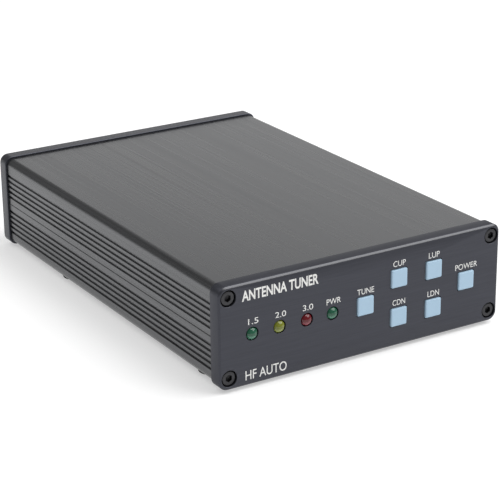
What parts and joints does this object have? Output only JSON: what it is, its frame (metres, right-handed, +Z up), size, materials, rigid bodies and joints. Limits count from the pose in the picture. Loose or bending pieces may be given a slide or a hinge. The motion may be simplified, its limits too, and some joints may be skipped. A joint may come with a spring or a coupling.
{
  "type": "antenna tuner",
  "caption": "Flat desktop antenna tuner in a split finned aluminium case, with push buttons and lamps in front and coaxial sockets behind.",
  "frame": {"origin": "under the middle of the overall box, at the level of the undersides of the feet", "axes": "+X to the right seen from the front, +Y from the front panel towards the sockets on the rear panel, +Z up"},
  "size_m": [0.126, 0.2012, 0.0413],
  "materials": {
    "anodised_shell": "brushed and anodised dark grey",
    "anodised_panel": "fine satin, anodised black",
    "black_steel": "black oxide",
    "foot_rubber": "matt",
    "cap_plastic": "moulded light blue, fine satin",
    "black_plastic": "moulded black",
    "green_lens": "clear tinted, unlit",
    "yellow_lens": "clear tinted, unlit",
    "red_lens": "clear tinted, unlit",
    "board_laminate": "green solder mask",
    "nickel_plate": "bright nickel",
    "silver_plate": "silver plated brass",
    "white_ptfe": "waxy white",
    "stainless_steel": "satin",
    "iron_powder": "red coating",
    "grey_ferrite": "matt sintered",
    "enamelled_copper": "enamelled wire",
    "tinned_copper": "tinned wire",
    "relay_plastic": "moulded cream",
    "blue_ceramic": "dipped blue",
    "blue_sleeve": "shrink sleeve"
  },
  "bodies": {
    "case": {"upper_shell": "anodised_shell", "lower_shell": "anodised_shell", "front_panel": "anodised_panel", "rear_panel": "anodised_panel", "front_screw_upper_left": "black_steel", "front_screw_upper_right": "black_steel", "front_screw_lower_left": "black_steel", "front_screw_lower_right": "black_steel", "rear_screw_upper_left": "black_steel", "rear_screw_upper_right": "black_steel", "rear_screw_lower_left": "black_steel", "rear_screw_lower_right": "black_steel", "foot_front_left": "foot_rubber", "foot_front_right": "foot_rubber", "foot_rear_left": "foot_rubber", "foot_rear_right": "foot_rubber", "tune_switch": "black_plastic", "power_switch": "black_plastic", "capacitor_up_switch": "black_plastic", "capacitor_down_switch": "black_plastic", "inductor_up_switch": "black_plastic", "inductor_down_switch": "black_plastic", "led_ratio_1_5": "green_lens", "led_ratio_2_0": "yellow_lens", "led_ratio_3_0": "red_lens", "led_power": "green_lens", "display_board": "board_laminate", "main_board": "board_laminate", "board_connector": "black_plastic", "antenna_socket_shell": "nickel_plate", "antenna_socket_insulator": "white_ptfe", "antenna_socket_contact": "silver_plate", "transceiver_socket_shell": "nickel_plate", "transceiver_socket_insulator": "white_ptfe", "transceiver_socket_contact": "silver_plate", "ground_stud": "stainless_steel", "dc_jack": "black_plastic", "dc_jack_nut": "nickel_plate", "large_toroid_core": "iron_powder", "large_toroid_winding": "enamelled_copper", "small_toroid_core": "iron_powder", "small_toroid_winding": "enamelled_copper", "air_coil": "enamelled_copper", "inductor_relay_bank": "relay_plastic", "capacitor_relay_bank": "relay_plastic", "capacitor_bank": "blue_ceramic", "transceiver_line": "tinned_copper", "antenna_line": "tinned_copper", "bridge_core": "grey_ferrite", "microcontroller": "black_plastic", "filter_capacitor": "blue_sleeve", "voltage_regulator": "black_plastic"},
    "tune_button": {"tune_button": "cap_plastic"},
    "power_button": {"power_button": "cap_plastic"},
    "capacitor_up_button": {"capacitor_up_button": "cap_plastic"},
    "capacitor_down_button": {"capacitor_down_button": "cap_plastic"},
    "inductor_up_button": {"inductor_up_button": "cap_plastic"},
    "inductor_down_button": {"inductor_down_button": "cap_plastic"},
    "ground_washer": {"ground_washer": "stainless_steel"},
    "ground_wing_nut": {"ground_wing_nut": "stainless_steel"}
  },
  "joints": [
    {"name": "tune_press", "type": "slide", "parent": "case", "child": "tune_button", "axis": [0, 1, 0], "range_m": [0, 0.0004], "stiffness_N_per_m": 2500},
    {"name": "power_press", "type": "slide", "parent": "case", "child": "power_button", "axis": [0, 1, 0], "range_m": [0, 0.0004], "stiffness_N_per_m": 2500},
    {"name": "capacitor_up_press", "type": "slide", "parent": "case", "child": "capacitor_up_button", "axis": [0, 1, 0], "range_m": [0, 0.0004], "stiffness_N_per_m": 2500},
    {"name": "capacitor_down_press", "type": "slide", "parent": "case", "child": "capacitor_down_button", "axis": [0, 1, 0], "range_m": [0, 0.0004], "stiffness_N_per_m": 2500},
    {"name": "inductor_up_press", "type": "slide", "parent": "case", "child": "inductor_up_button", "axis": [0, 1, 0], "range_m": [0, 0.0004], "stiffness_N_per_m": 2500},
    {"name": "inductor_down_press", "type": "slide", "parent": "case", "child": "inductor_down_button", "axis": [0, 1, 0], "range_m": [0, 0.0004], "stiffness_N_per_m": 2500},
    {"name": "washer_travel", "type": "slide", "parent": "case", "child": "ground_washer", "axis": [0, 1, 0], "range_m": [0, 0.003]},
    {"name": "wing_nut_turn", "type": "hinge", "parent": "ground_washer", "child": "ground_wing_nut", "pos_m": [-0.046, 0.08745, 0.0213], "axis": [0, 1, 0], "range_deg": [0, 1545]}
  ],
  "couplings": [
    {"joint": "wing_nut_turn", "follows": "washer_travel", "rad_per_m": 8976}
  ]
}
